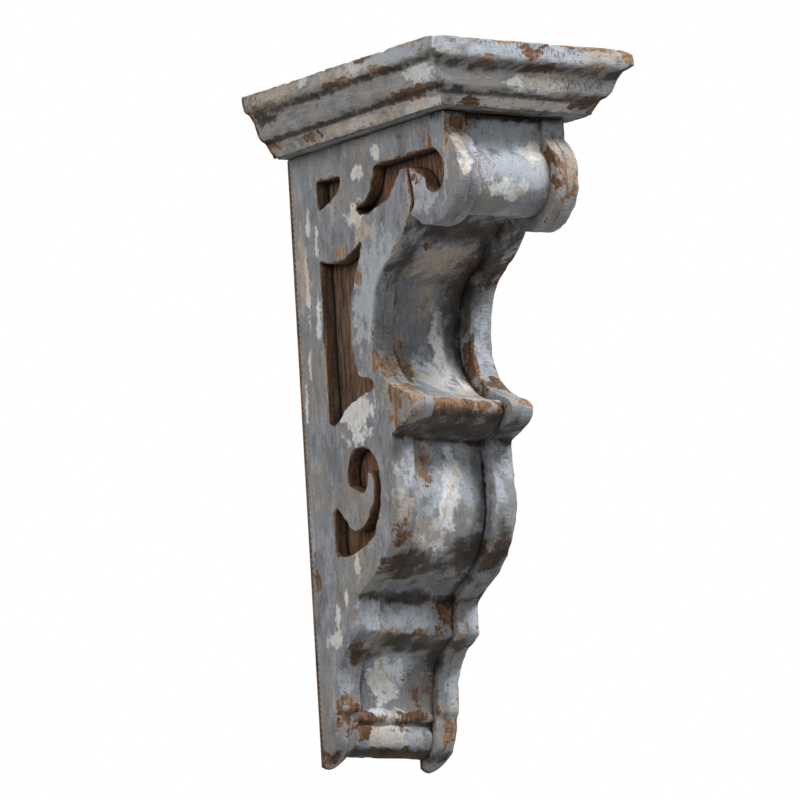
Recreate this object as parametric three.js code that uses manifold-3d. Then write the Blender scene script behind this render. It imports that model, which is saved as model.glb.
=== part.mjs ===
import * as THREE from 'three';
import { mergeVertices } from 'three/addons/utils/BufferGeometryUtils.js';
import Module from 'manifold-3d';

// Corbel shelf of painted wood that hangs on a wall, in millimetres.
// X runs along the wall, Y into the wall and Z up, so the front faces -Y.
// The origin is on the wall plane, midway across and midway between the shelf's top and the feet.

// Overall sizes
const HEIGHT = 433;
const SHELF_WIDTH = 159;
const SHELF_DEPTH = 209;
const SHELF_THICKNESS = 39.5;
const BODY_WIDTH = 93.5;
const BODY_TOP_DEPTH = 172.5;
const TOP = HEIGHT / 2;

// The two layers of each side
const FRET_THICKNESS = 9.5;
const LINER_THICKNESS = 7.25;

// Crown moulding round the shelf
const MOULDING_WIDTH = 25;
const FASCIA_HEIGHT = 9.6;
const FASCIA_EASE = 1.2;
const MITRE_GAP = 0.4;

// The scroll under the shelf, as depth from the wall and height from the shelf's top
const ROLL_DEPTH = 154.5;
const ROLL_LEVEL = -78;
const ROLL_RADIUS = 31;
const ROLL_END_ANGLE = THREE.MathUtils.degToRad(-142);
const ROLL_STEPS = 22;

// The square fillet under the bulge, and the block's flat foot
const FILLET_DEPTH = 50.4;
const FILLET_TOP = -329;
const FILLET_BOTTOM = -350.5;
const BLOCK_FOOT = -424.5;

// Feet of the sides, rounded across their thickness
const FOOT_EDGE_LIFT = 4.5;
const FOOT_STEPS = 8;

// Saw kerf that frees the scroll's end from the neck
const KERF_WIDTH = 1.3;

// Points drawn on a smooth curve for each point that it goes through
const CURVE_STEPS = 3;

// How far each stretch of the front lies behind the front of the side boards
const FLUSH = { top: 0, roll: 0, hollow: 0, nose: 0, bulge: 0, fillet: 0, cove: 0 };
const BLOCK_SETBACK = { top: 2.5, roll: 7.8, hollow: 12, nose: 7.5, bulge: 10.5, fillet: 5, cove: 5.5 };

const wasm = await Module();
wasm.setup();

// A smooth run of an outline through the given points of depth and height
function curve(...points) {
  return { points };
}

// Draw straight and smooth runs one after another
function drawRuns(path, runs) {
  for (const run of runs) {
    if (run.points) {
      path.splineThru(run.points.map(([depth, height]) => new THREE.Vector2(depth, height)));
    } else {
      path.lineTo(run[0], run[1]);
    }
  }
}

// A hole of an outline, which runs the other way round from the outline
function closedPath(start, ...runs) {
  const path = new THREE.Path();
  path.moveTo(start[0], start[1]);
  drawRuns(path, runs);
  const points = path.getPoints(CURVE_STEPS);
  return new THREE.Path(THREE.ShapeUtils.isClockWise(points) ? points.reverse() : points);
}

// Front of a side board or of the block, from under the shelf down to the step above the foot
function drawFront(path, back) {
  const topDepth = BODY_TOP_DEPTH - back.top;
  const radius = ROLL_RADIUS - back.roll;
  const startAngle = Math.acos((topDepth - ROLL_DEPTH) / radius);
  path.lineTo(topDepth, -SHELF_THICKNESS);
  for (let step = 0; step <= ROLL_STEPS; step++) {
    const angle = THREE.MathUtils.lerp(startAngle, ROLL_END_ANGLE, step / ROLL_STEPS);
    path.lineTo(ROLL_DEPTH + radius * Math.cos(angle), ROLL_LEVEL + radius * Math.sin(angle));
  }
  const hollow = ([depth, height]) => [depth - back.hollow, height];
  const nose = ([depth, height]) => [depth - back.nose, height];
  const bulge = ([depth, height]) => [depth - back.bulge, height];
  const cove = ([depth, height]) => [depth - back.cove, height];
  const hollowPoints = [
    [122.5, -107.5], [110, -118.8], [94, -129.5], [86.5, -141], [82.8, -157],
    [82.5, -172], [86, -186], [96.5, -199], [109, -206.5],
  ];
  const nosePoints = [[121, -213], [122, -217.5], [118.5, -223.5], [109.5, -228.5]];
  const bulgePoints = [
    [97, -245], [98.8, -259], [99.2, -272], [95.5, -287], [87, -303], [75.5, -314.5], [61, -322.5],
  ];
  const covePoints = [[41, -356.5], [31, -364.5], [25.5, -377], [23.7, -389], [23.5, -396.5]];
  drawRuns(path, [
    curve(...hollowPoints.map(hollow)),
    nose([117, -209.5]),
    curve(...nosePoints.map(nose)),
    bulge([97.2, -233]),
    curve(...bulgePoints.map(bulge), [FILLET_DEPTH + 1.5 - back.fillet, FILLET_TOP]),
    [FILLET_DEPTH - back.fillet, FILLET_TOP - 1],
    [FILLET_DEPTH - back.fillet, FILLET_BOTTOM],
    curve(...covePoints.map(cove)),
  ]);
}

function boardShape() {
  const shape = new THREE.Shape();
  shape.moveTo(0, -SHELF_THICKNESS);
  drawFront(shape, FLUSH);
  drawRuns(shape, [
    [21, -400.5],
    curve([20.3, -407], [18.2, -416], [13.5, -425], [6.5, -431], [0, -HEIGHT]),
  ]);
  shape.closePath();
  return shape;
}

function blockShape() {
  const shape = new THREE.Shape();
  shape.moveTo(0, -SHELF_THICKNESS);
  drawFront(shape, BLOCK_SETBACK);
  drawRuns(shape, [
    [19.5, -399],
    [18.5, -403],
    [15.5, -404],
    curve([17, -409], [15.5, -416], [11, -422], [5, BLOCK_FOOT]),
    [0, BLOCK_FOOT],
  ]);
  shape.closePath();
  return shape;
}

// Openings sawn through the outer layer of each side
function fretOpenings() {
  const corner = closedPath(
    [31, -59.4],
    [55.8, -60.5],
    curve([56, -64.5], [52, -69.6], [45, -74.1], [37, -77.2], [32, -77.8]),
    [30.8, -70.5],
  );
  const scrollEye = closedPath(
    [94.5, -61],
    [158, -61],
    curve([163.8, -64.8], [168.2, -71], [169.3, -79], [165.8, -85.6], [158, -87.2], [151.8, -84.3]),
    curve([149, -78], [142.2, -72.3], [132, -68.3], [122, -68]),
    curve([117, -73.3], [108.5, -82.3], [97, -86.2], [84, -88.3], [77, -88.7]),
    [72.9, -84],
    curve([80.5, -83], [88.5, -76.5], [91.5, -70]),
  );
  const tallSlot = closedPath(
    [30.5, -111.5],
    curve([39.9, -114], [50, -115.2], [63.5, -111.7], [75.7, -105.9]),
    curve([72.5, -115], [66, -127.5], [60.5, -142], [58.5, -157], [59.3, -171], [62, -185], [66, -191]),
    [78.5, -196.3],
    curve([77, -200.8], [66.7, -202.4], [50, -208.5], [36, -217.5]),
    [31, -215.6],
  );
  const lowerHook = closedPath(
    [65, -236.1],
    curve([57, -236.4], [50.5, -242], [47.6, -249.5], [48.5, -257.8]),
    curve([55.6, -261.2], [63.2, -264.1], [67, -260], [68.4, -251.8]),
    curve([71.8, -251.4], [75, -258], [75.2, -267.6], [70.5, -278], [60, -286.5], [48, -286.3], [33.3, -270.5]),
    [30.6, -272],
    [29.4, -293],
    curve([31, -299], [38.6, -301.6], [52, -300.6], [69, -294.8]),
    curve([77, -283], [81, -268], [80.5, -254], [75.5, -242.5], [66, -236.2]),
  );
  return [corner, scrollEye, tallSlot, lowerHook];
}

// The saw cut from the notch behind the scroll up into its eye, as a thin closed strip
function kerfShape() {
  const middle = new THREE.SplineCurve([
    new THREE.Vector2(128.5, -99),
    new THREE.Vector2(134.2, -92),
    new THREE.Vector2(133, -82),
    new THREE.Vector2(130.9, -66),
  ]);
  const points = middle.getPoints(2 * CURVE_STEPS);
  const half = KERF_WIDTH / 2;
  const near = points.map((point) => new THREE.Vector2(point.x - half, point.y));
  const far = points.map((point) => new THREE.Vector2(point.x + half, point.y));
  return new THREE.Shape([...near, ...far.reverse()]);
}

// Extrude a shape of depth and height across the body, between two values of X
function acrossBody(shape, fromX, toX) {
  const settings = { depth: toX - fromX, bevelEnabled: false, curveSegments: CURVE_STEPS };
  const geometry = new THREE.ExtrudeGeometry(shape, settings);
  const toFrame = new THREE.Matrix4().makeBasis(
    new THREE.Vector3(0, -1, 0),
    new THREE.Vector3(0, 0, 1),
    new THREE.Vector3(-1, 0, 0),
  );
  toFrame.setPosition(toX, 0, TOP);
  return geometry.applyMatrix4(toFrame);
}

// The room that a side's rounded foot may fill, as a long bar whose lower edge is an arc
function footEnvelope(innerX, outerX) {
  const shape = new THREE.Shape();
  const centre = (innerX + outerX) / 2;
  const half = Math.abs(outerX - innerX) / 2;
  shape.moveTo(centre + half, TOP);
  shape.lineTo(centre - half, TOP);
  for (let step = 0; step <= FOOT_STEPS; step++) {
    const across = THREE.MathUtils.lerp(-1, 1, step / FOOT_STEPS);
    shape.lineTo(centre + half * across, -TOP + FOOT_EDGE_LIFT * across * across);
  }
  shape.closePath();
  const geometry = new THREE.ExtrudeGeometry(shape, { depth: SHELF_DEPTH, bevelEnabled: false });
  const toFrame = new THREE.Matrix4().makeBasis(
    new THREE.Vector3(1, 0, 0),
    new THREE.Vector3(0, 0, 1),
    new THREE.Vector3(0, -1, 0),
  );
  return geometry.applyMatrix4(toFrame);
}

function toSolid(geometry) {
  const bare = geometry.clone();
  bare.deleteAttribute('normal');
  bare.deleteAttribute('uv');
  const merged = mergeVertices(bare);
  return new wasm.Manifold(new wasm.Mesh({
    numProp: 3,
    vertProperties: new Float32Array(merged.attributes.position.array),
    triVerts: new Uint32Array(merged.index.array),
  }));
}

function fromSolid(solid) {
  const mesh = solid.getMesh();
  const geometry = new THREE.BufferGeometry();
  geometry.setAttribute('position', new THREE.BufferAttribute(mesh.vertProperties, 3));
  geometry.setIndex(new THREE.BufferAttribute(mesh.triVerts, 1));
  geometry.computeVertexNormals();
  return geometry;
}

// Outer layer of a side, pierced and slit by the saw
function fretGeometry(side) {
  const outer = side * BODY_WIDTH / 2;
  const inner = side * (BODY_WIDTH / 2 - FRET_THICKNESS);
  const foot = footEnvelope(side * (BODY_WIDTH / 2 - FRET_THICKNESS - LINER_THICKNESS), outer);
  const shape = boardShape();
  shape.holes.push(...fretOpenings());
  const plate = acrossBody(shape, Math.min(inner, outer), Math.max(inner, outer));
  const kerf = acrossBody(kerfShape(), Math.min(inner, outer) - 1, Math.max(inner, outer) + 1);
  return fromSolid(toSolid(plate).intersect(toSolid(foot)).subtract(toSolid(kerf)));
}

// Inner layer of a side, plain behind the openings
function linerGeometry(side) {
  const outer = side * (BODY_WIDTH / 2 - FRET_THICKNESS);
  const inner = outer - side * LINER_THICKNESS;
  const foot = footEnvelope(inner, side * BODY_WIDTH / 2);
  const plate = acrossBody(boardShape(), Math.min(inner, outer), Math.max(inner, outer));
  return fromSolid(toSolid(plate).intersect(toSolid(foot)));
}

function blockGeometry() {
  const half = BODY_WIDTH / 2 - FRET_THICKNESS - LINER_THICKNESS;
  return acrossBody(blockShape(), -half, half);
}

// Section of the moulding, as inset from the shelf's edge and height from its top
function mouldingShape() {
  const shape = new THREE.Shape();
  shape.moveTo(MOULDING_WIDTH, 0);
  drawRuns(shape, [
    [FASCIA_EASE, 0],
    [0, -FASCIA_EASE],
    [0, -FASCIA_HEIGHT],
    curve([2, -11.8], [5.4, -13.1]),
    curve([8.2, -17.6], [9.6, -21.5], [11, -25.5], [13.4, -28.7]),
    [16.5, -30.2],
    curve([18, -32.6], [20, -36.2], [20.9, -38.2]),
    [20.9, -SHELF_THICKNESS],
    [MOULDING_WIDTH, -SHELF_THICKNESS],
  ]);
  shape.closePath();
  return shape;
}

// Length of moulding: place(inset, height, share) gives the point a share of the way along it
function mouldingGeometry(place) {
  const settings = { depth: 1, bevelEnabled: false, curveSegments: CURVE_STEPS };
  const geometry = new THREE.ExtrudeGeometry(mouldingShape(), settings);
  const position = geometry.attributes.position;
  for (let index = 0; index < position.count; index++) {
    const point = place(position.getX(index), position.getY(index), position.getZ(index));
    position.setXYZ(index, ...point);
  }
  geometry.computeVertexNormals();
  return geometry;
}

// The front length runs between two mitres
function frontMoulding() {
  return mouldingGeometry((inset, height, share) => {
    const end = SHELF_WIDTH / 2 - inset - MITRE_GAP / 2;
    return [THREE.MathUtils.lerp(-end, end, share), inset - SHELF_DEPTH, TOP + height];
  });
}

// A side length runs from the wall to its mitre, and the right one is drawn the other way round
function sideMoulding(side) {
  return mouldingGeometry((inset, height, share) => {
    const end = inset - SHELF_DEPTH + MITRE_GAP / 2;
    const along = side < 0 ? share : 1 - share;
    return [side * (SHELF_WIDTH / 2 - inset), end * along, TOP + height];
  });
}

// The flat board inside the moulding, which closes the shelf above and below
function shelfBoardGeometry() {
  const width = SHELF_WIDTH - 2 * MOULDING_WIDTH;
  const depth = SHELF_DEPTH - MOULDING_WIDTH;
  const geometry = new THREE.BoxGeometry(width, depth, SHELF_THICKNESS);
  return geometry.translate(0, -depth / 2, TOP - SHELF_THICKNESS / 2);
}

const paint = { color: 0x84898f, roughness: 0.82, metalness: 0 };
const bareWood = { color: 0x5b4331, roughness: 0.9, metalness: 0 };

const group = new THREE.Group();

function addPiece(name, geometry, look) {
  const mesh = new THREE.Mesh(geometry, new THREE.MeshStandardMaterial(look));
  mesh.name = name;
  group.add(mesh);
}

addPiece('shelf_board', shelfBoardGeometry(), paint);
addPiece('crown_front', frontMoulding(), paint);
addPiece('crown_left', sideMoulding(-1), paint);
addPiece('crown_right', sideMoulding(1), paint);
addPiece('fret_left', fretGeometry(-1), paint);
addPiece('fret_right', fretGeometry(1), paint);
addPiece('liner_left', linerGeometry(-1), bareWood);
addPiece('liner_right', linerGeometry(1), bareWood);
addPiece('centre_block', blockGeometry(), paint);

export default group;
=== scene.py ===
"""Worn painted corbel shelf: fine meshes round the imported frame, with layered paint, light and camera."""
import math

import bmesh
import bpy
import numpy as np
from mathutils import Matrix, Vector
from mathutils.bvhtree import BVHTree
from mathutils.geometry import delaunay_2d_cdt


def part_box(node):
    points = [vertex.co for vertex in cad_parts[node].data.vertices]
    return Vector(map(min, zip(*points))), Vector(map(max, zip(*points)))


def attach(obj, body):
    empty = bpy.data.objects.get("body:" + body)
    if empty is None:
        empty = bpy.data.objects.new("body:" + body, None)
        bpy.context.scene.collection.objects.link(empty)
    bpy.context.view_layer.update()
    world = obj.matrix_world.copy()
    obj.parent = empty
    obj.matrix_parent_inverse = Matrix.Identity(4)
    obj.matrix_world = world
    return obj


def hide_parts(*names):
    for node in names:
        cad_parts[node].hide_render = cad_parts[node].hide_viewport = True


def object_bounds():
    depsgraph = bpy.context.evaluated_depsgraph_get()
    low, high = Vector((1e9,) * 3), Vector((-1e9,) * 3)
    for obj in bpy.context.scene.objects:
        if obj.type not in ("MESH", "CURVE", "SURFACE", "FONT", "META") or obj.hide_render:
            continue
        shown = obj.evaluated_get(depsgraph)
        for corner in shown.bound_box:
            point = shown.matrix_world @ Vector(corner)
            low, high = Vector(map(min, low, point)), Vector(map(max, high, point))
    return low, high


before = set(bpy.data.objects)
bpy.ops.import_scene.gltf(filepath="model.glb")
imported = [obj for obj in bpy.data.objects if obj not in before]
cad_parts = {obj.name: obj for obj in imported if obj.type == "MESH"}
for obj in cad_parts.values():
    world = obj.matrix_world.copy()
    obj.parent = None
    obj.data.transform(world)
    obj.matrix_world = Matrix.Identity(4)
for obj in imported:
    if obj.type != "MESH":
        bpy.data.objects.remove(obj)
cad_low, cad_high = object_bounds()

# Sizes in millimetres, from the frame where it gives them
MM = 0.001
TOP = cad_high.z / MM
SHELF_WIDTH = (cad_high.x - cad_low.x) / MM
SHELF_DEPTH = -cad_low.y / MM
HEIGHT = (cad_high.z - cad_low.z) / MM


def node_box(name):
    low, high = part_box(name)
    return np.array(low) / MM, np.array(high) / MM


SHELF_THICKNESS = TOP - node_box("shelf_board")[0][2]
MOULDING_WIDTH = (SHELF_WIDTH / 2) - node_box("shelf_board")[1][0]
BODY_HALF = node_box("fret_right")[1][0]
LINER_OUTER = node_box("liner_right")[1][0]
BLOCK_HALF = node_box("centre_block")[1][0]
BODY_TOP_DEPTH = 172.5

# Spacing of the points on edges and on flat faces, wider where a face is hidden
EDGE_STEP = 1.6
FRET_FACE_STEP = 2.2
FRET_BACK_STEP = 7.0
LINER_FACE_STEP = 3.2
LINER_BACK_STEP = 1.7

# How far sharp corners are cut round, and a distance from an arris that counts as unworn
BOARD_EASE = 1.0
BLOCK_EASE = 1.1
UNWORN = 20.0

SIDES = ((-1, "left"), (1, "right"))

# The scroll under the shelf, as depth from the wall and level under the shelf's top
ROLL_DEPTH = 154.5
ROLL_LEVEL = -78
ROLL_RADIUS = 31
ROLL_END_ANGLE = -142
KERF_ANGLE = -141
FILLET_DEPTH = 50.4
FILLET_TOP = -329
FILLET_BOTTOM = -350.5
BLOCK_FOOT = -424.5
FLUSH = dict(top=0, roll=0, hollow=0, nose=0, bulge=0, fillet=0, cove=0)
BLOCK_SETBACK = dict(top=2.5, roll=7.8, hollow=12, nose=7.5, bulge=10.5, fillet=5, cove=5.5)


# Outlines

CURVE_STEPS = 8
EASE_STEPS = (0, 0.33, 0.67, 1)
EASE_SHARE = 0.45
TURN_LIMIT = 0.35
ROLL_STEPS = 40


def through(*points):
    """A smooth run through the given points."""
    return ("curve", [np.array(point, float) for point in points])


def catmull(points, steps):
    """Points on the smooth curve that passes through the given ones."""
    out = []
    padded = [points[0], *points, points[-1]]
    for before, start, end, after in zip(padded, padded[1:], padded[2:], padded[3:]):
        slope_in = (end - before) / 2
        slope_out = (after - start) / 2
        for t in np.arange(1, steps + 1) / steps:
            cubic = (2 * start - 2 * end + slope_in + slope_out) * t ** 3
            square = (-3 * start + 3 * end - 2 * slope_in - slope_out) * t ** 2
            out.append(cubic + square + slope_in * t + start)
    return out


def run_points(start, runs):
    """Polyline from straight and smooth runs, with its corners kept."""
    points = [np.array(start, float)]
    for run in runs:
        if isinstance(run[0], str):
            points += catmull([points[-1]] + run[1], CURVE_STEPS)
        else:
            points.append(np.array(run, float))
    return points


def ease(points, radius):
    """Cut each sharp corner of a closed polyline to a small round one."""
    points = np.array(points)
    out = []
    for before, here, after in zip(np.roll(points, 1, axis=0), points, np.roll(points, -1, axis=0)):
        back = before - here
        ahead = after - here
        back_length = np.linalg.norm(back)
        ahead_length = np.linalg.norm(ahead)
        cosine = np.dot(-back, ahead) / (back_length * ahead_length + 1e-9)
        if math.acos(max(-1, min(1, cosine))) < TURN_LIMIT:
            out.append(here)
            continue
        reach = min(radius, EASE_SHARE * back_length, EASE_SHARE * ahead_length)
        first = here + back / back_length * reach
        last = here + ahead / ahead_length * reach
        for t in EASE_STEPS:
            out.append((1 - t) ** 2 * first + 2 * t * (1 - t) * here + t * t * last)
    return np.array(out)


def resample(points, step):
    """Closed polyline with points about a step apart."""
    closed = np.vstack([points, points[:1]])
    lengths = np.linalg.norm(np.diff(closed, axis=0), axis=1)
    along = np.concatenate([[0], np.cumsum(lengths)])
    count = int(along[-1] / step)
    places = np.linspace(0, along[-1], count, endpoint=False)
    return np.column_stack([np.interp(places, along, closed[:, axis]) for axis in range(2)])


def clockwise(points):
    x, y = points[:, 0], points[:, 1]
    return np.sum(x * np.roll(y, -1) - np.roll(x, -1) * y) < 0


def front_runs(back, kerf=()):
    """Front of a side board or of the block, from under the shelf down to the step above the foot."""
    top_depth = BODY_TOP_DEPTH - back["top"]
    radius = ROLL_RADIUS - back["roll"]
    start = math.acos((top_depth - ROLL_DEPTH) / radius)
    end = math.radians(KERF_ANGLE if kerf else ROLL_END_ANGLE)
    roll = []
    for angle in np.linspace(start, end, ROLL_STEPS):
        roll.append((ROLL_DEPTH + radius * math.cos(angle), ROLL_LEVEL + radius * math.sin(angle)))

    def set_back(zone, *points):
        return [(depth - back[zone], level) for depth, level in points]

    hollow = set_back(
        "hollow", (122.5, -107.5), (110, -118.8), (94, -129.5), (86.5, -141), (82.8, -157),
        (82.5, -172), (86, -186), (96.5, -199), (109, -206.5),
    )
    nose = set_back("nose", (121, -213), (122, -217.5), (118.5, -223.5), (109.5, -228.5))
    bulge = set_back(
        "bulge", (97, -245), (98.8, -259), (99.2, -272), (95.5, -287), (87, -303), (75.5, -314.5),
        (61, -322.5),
    )
    cove = set_back("cove", (41, -356.5), (31, -364.5), (25.5, -377), (23.7, -389), (23.5, -396.5))
    fillet = FILLET_DEPTH - back["fillet"]
    return [
        (top_depth, -SHELF_THICKNESS),
        *roll,
        *kerf,
        through(*hollow),
        *set_back("nose", (117, -209.5)),
        through(*nose),
        *set_back("bulge", (97.2, -233)),
        through(*bulge, (fillet + 1.5, FILLET_TOP)),
        (fillet, FILLET_TOP - 1),
        (fillet, FILLET_BOTTOM),
        through(*cove),
    ]


BOARD_FOOT = [(21, -400.5), through((20.3, -407), (18.2, -416), (13.5, -425), (6.5, -431), (0, -HEIGHT))]

# The saw cut from the notch behind the scroll up to its eye, round the eye, and back down the cut
SCROLL_EYE = [
    through((134.8, -92), (133.6, -82), (131.5, -68.3)),
    through((142.2, -72.3), (149, -78), (151.8, -84.3)),
    through((158, -87.2), (165.8, -85.6), (169.3, -79), (168.2, -71), (163.8, -64.8), (158, -61)),
    (94.5, -61),
    through((91.5, -70), (88.5, -76.5), (80.5, -83), (72.9, -84)),
    (77, -88.7),
    through((84, -88.3), (97, -86.2), (108.5, -82.3), (117, -73.3), (122, -68)),
    (130.2, -68.2),
    through((132.3, -82), (133.5, -92), (128.3, -98.8)),
]


def board_outline(kerf=()):
    return run_points((0, -SHELF_THICKNESS), front_runs(FLUSH, kerf) + BOARD_FOOT)


def block_outline():
    foot = [
        (19.5, -399), (18.5, -403), (15.5, -404),
        through((17, -409), (15.5, -416), (11, -422), (5, BLOCK_FOOT)),
        (0, BLOCK_FOOT),
    ]
    return run_points((0, -SHELF_THICKNESS), front_runs(BLOCK_SETBACK) + foot)


def fret_openings():
    corner = run_points((31, -59.4), [
        (55.8, -60.5),
        through((56, -64.5), (52, -69.6), (45, -74.1), (37, -77.2), (32, -77.8)),
        (30.8, -70.5),
    ])
    tall_slot = run_points((30.5, -111.5), [
        through((39.9, -114), (50, -115.2), (63.5, -111.7), (75.7, -105.9)),
        through((72.5, -115), (66, -127.5), (60.5, -142), (58.5, -157), (59.3, -171), (62, -185), (66, -191)),
        (78.5, -196.3),
        through((77, -200.8), (66.7, -202.4), (50, -208.5), (36, -217.5)),
        (31, -215.6),
    ])
    lower_hook = run_points((65, -236.1), [
        through((57, -236.4), (50.5, -242), (47.6, -249.5), (48.5, -257.8)),
        through((55.6, -261.2), (63.2, -264.1), (67, -260), (68.4, -251.8)),
        through(
            (71.8, -251.4), (75, -258), (75.2, -267.6), (70.5, -278), (60, -286.5), (48, -286.3),
            (33.3, -270.5),
        ),
        (30.6, -272),
        (29.4, -293),
        through((31, -299), (38.6, -301.6), (52, -300.6), (69, -294.8)),
        through((77, -283), (81, -268), (80.5, -254), (75.5, -242.5), (66, -236.2)),
    ])
    return [corner, tall_slot, lower_hook]


# Smooth noise for shapes and broad wear, the same on every run

RIPPLE_WAVES = 10
RIPPLE_PITCH = (0.6, 1.7)
RIPPLE_TOTAL = 3.2


def ripple(points, size, seed):
    """Sum of sine waves of about the given size in mm, from -1 to 1."""
    draw = np.random.default_rng(seed)
    waves = draw.normal(size=(RIPPLE_WAVES, points.shape[1]))
    waves /= np.linalg.norm(waves, axis=1, keepdims=True)
    waves *= (2 * math.pi / size) * draw.uniform(*RIPPLE_PITCH, size=(RIPPLE_WAVES, 1))
    phases = draw.uniform(0, 2 * math.pi, RIPPLE_WAVES)
    total = np.sin(points @ waves.T + phases).sum(axis=1)
    return np.clip(total / RIPPLE_TOTAL, -1, 1)


def ripples(points, seed, parts):
    """Sum of ripples, each given by its size and height in mm, with one seed after another."""
    return sum(height * ripple(points, size, seed + number) for number, (size, height) in enumerate(parts))


def smooth_step(low, high, value):
    t = np.clip((value - low) / (high - low), 0, 1)
    return t * t * (3 - 2 * t)


# Meshes

SHARP_ANGLE = math.radians(50)
CHUNK = 2000
ROW_SHARE = 0.87
CLEAR_SHARE = 0.7
INSET_SHARE = 0.8
INSET_SHRINK = 0.7
INSET_ROUNDS = 8
SMOOTH_ROUNDS = 3
WALL_MARGIN = 0.5
EYE_DEPTH = 72
EYE_FRONT = 124
EYE_LEVELS = (-97, -60)


def add_object(name, data):
    made = bpy.data.objects.new(name, data)
    bpy.context.scene.collection.objects.link(made)
    return made


class Draft:
    """Points, faces and per-point values of a piece, in mm, before it becomes an object."""

    def __init__(self):
        self.points = []
        self.edge = []
        self.raw = []
        self.faces = []
        self.count = 0

    def add(self, points, edge, raw=0.0):
        """Add points with their distance from a worn arris and their share of unpainted wood."""
        first = self.count
        self.points.append(points)
        self.edge.append(np.broadcast_to(edge, len(points)))
        self.raw.append(np.broadcast_to(raw, len(points)))
        self.count += len(points)
        return np.arange(first, self.count)

    def strip(self, one, two):
        """Quads between two closed rows of as many points."""
        self.faces += zip(one, np.roll(one, -1), np.roll(two, -1), two)

    def finish(self, name):
        points = np.vstack(self.points)
        mesh = bpy.data.meshes.new(name)
        mesh.from_pydata(points * MM, [], [tuple(int(i) for i in face) for face in self.faces])
        turner = bmesh.new()
        turner.from_mesh(mesh)
        bmesh.ops.recalc_face_normals(turner, faces=turner.faces)
        turner.to_mesh(mesh)
        turner.free()
        mesh.shade_smooth()
        mesh.set_sharp_from_angle(angle=SHARP_ANGLE)
        piece = add_object(name, mesh)
        store(mesh, "edge", np.concatenate(self.edge))
        store(mesh, "raw", np.concatenate(self.raw))
        return piece


def store(mesh, name, values):
    layer = mesh.attributes.get(name) or mesh.attributes.new(name, "FLOAT", "POINT")
    layer.data.foreach_set("value", np.asarray(values, np.float32))


def lifted(flat, third):
    """Flat points with one more coordinate, the same for all."""
    return np.column_stack([flat, np.full(len(flat), third)])


def on_wall(loop):
    """Which points of an outline lie against the wall or against the shelf."""
    return (loop[:, 0] < WALL_MARGIN) | (loop[:, 1] > -SHELF_THICKNESS - WALL_MARGIN)


def outward(loop, hole):
    """Unit normals of a closed loop that point out of the wood."""
    ahead = np.roll(loop, -1, axis=0) - np.roll(loop, 1, axis=0)
    ahead /= np.linalg.norm(ahead, axis=1, keepdims=True) + 1e-9
    normal = np.column_stack([ahead[:, 1], -ahead[:, 0]])
    return -normal if clockwise(loop) != hole else normal


def distances(points, others):
    """Distance from each point to the nearest of the others."""
    out = np.empty(len(points))
    for start in range(0, len(points), CHUNK):
        part = points[start:start + CHUNK]
        gap = part[:, None, :] - others[None, :, :]
        out[start:start + CHUNK] = np.sqrt((gap ** 2).sum(axis=2).min(axis=1))
    return out


def inside(points, loops):
    """Whether points lie in the first loop and out of the others."""
    odd = np.zeros(len(points), bool)
    for loop in loops:
        following = np.roll(loop, -1, axis=0)
        for (x0, y0), (x1, y1) in zip(loop, following):
            if y0 == y1:
                continue
            crosses = (points[:, 1] > min(y0, y1)) & (points[:, 1] <= max(y0, y1))
            x_at = x0 + (points[:, 1] - y0) * (x1 - x0) / (y1 - y0)
            odd ^= crosses & (points[:, 0] < x_at)
    return odd


def grid_inside(loops, step, clear):
    """Points of a triangular grid that lie in the wood and clear of its edges."""
    low = loops[0].min(axis=0)
    high = loops[0].max(axis=0)
    rows = np.arange(low[1], high[1], step * ROW_SHARE)
    points = []
    for number, level in enumerate(rows):
        across = np.arange(low[0] + (number % 2) * step / 2, high[0], step)
        points.append(np.column_stack([across, np.full(len(across), level)]))
    points = np.vstack(points)
    points = points[inside(points, loops)]
    return points[distances(points, np.vstack(loops)) > clear]


def fill(draft, rings, loops, points_of, step):
    """Fill a flat face between rings of points that are already in the draft."""
    spots = grid_inside(loops, step, CLEAR_SHARE * step)
    inner = draft.add(*points_of(spots))
    flat = [Vector(point) for point in np.vstack([*loops, spots])]
    index = np.concatenate([*rings, inner])
    edges = []
    first = 0
    for loop in loops:
        ids = np.arange(first, first + len(loop))
        edges += zip(ids.tolist(), np.roll(ids, -1).tolist())
        first += len(loop)
    made = delaunay_2d_cdt(flat, edges, [], 0, 1e-5, True)
    flat_out = np.array([tuple(vertex) for vertex in made[0]])
    triangles = np.array(made[2])
    keep = inside(flat_out[triangles].mean(axis=1), loops)
    original = [ids[0] if ids else -1 for ids in made[3]]
    for triangle in triangles[keep]:
        corners = [original[i] for i in triangle]
        if min(corners) < 0:
            continue
        draft.faces.append(tuple(index[i] for i in corners))


def in_scroll_eye(loop):
    """Which points of a side's outline lie round the scroll's eye or in the cut that leads to it."""
    from_roll = np.hypot(loop[:, 0] - ROLL_DEPTH, loop[:, 1] - ROLL_LEVEL)
    lowest, highest = EYE_LEVELS
    eye = (loop[:, 0] > EYE_DEPTH) & (loop[:, 1] > lowest) & (loop[:, 1] < highest)
    return eye & ((from_roll < ROLL_RADIUS - 1) | (loop[:, 0] < EYE_FRONT))


def safe_inset(loop, normal, wanted, everything):
    """Inset of each point, made smaller where the wood is too narrow for it."""
    inset = wanted.copy()
    for _ in range(INSET_ROUNDS):
        gap = distances(loop - normal * inset[:, None], everything)
        inset = np.where(gap < INSET_SHARE * inset, INSET_SHRINK * inset, inset)
    for _ in range(SMOOTH_ROUNDS):
        inset = np.minimum(inset, (np.roll(inset, 1) + inset + np.roll(inset, -1)) / 3 + 0.02)
    return inset


# Side boards

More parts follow.
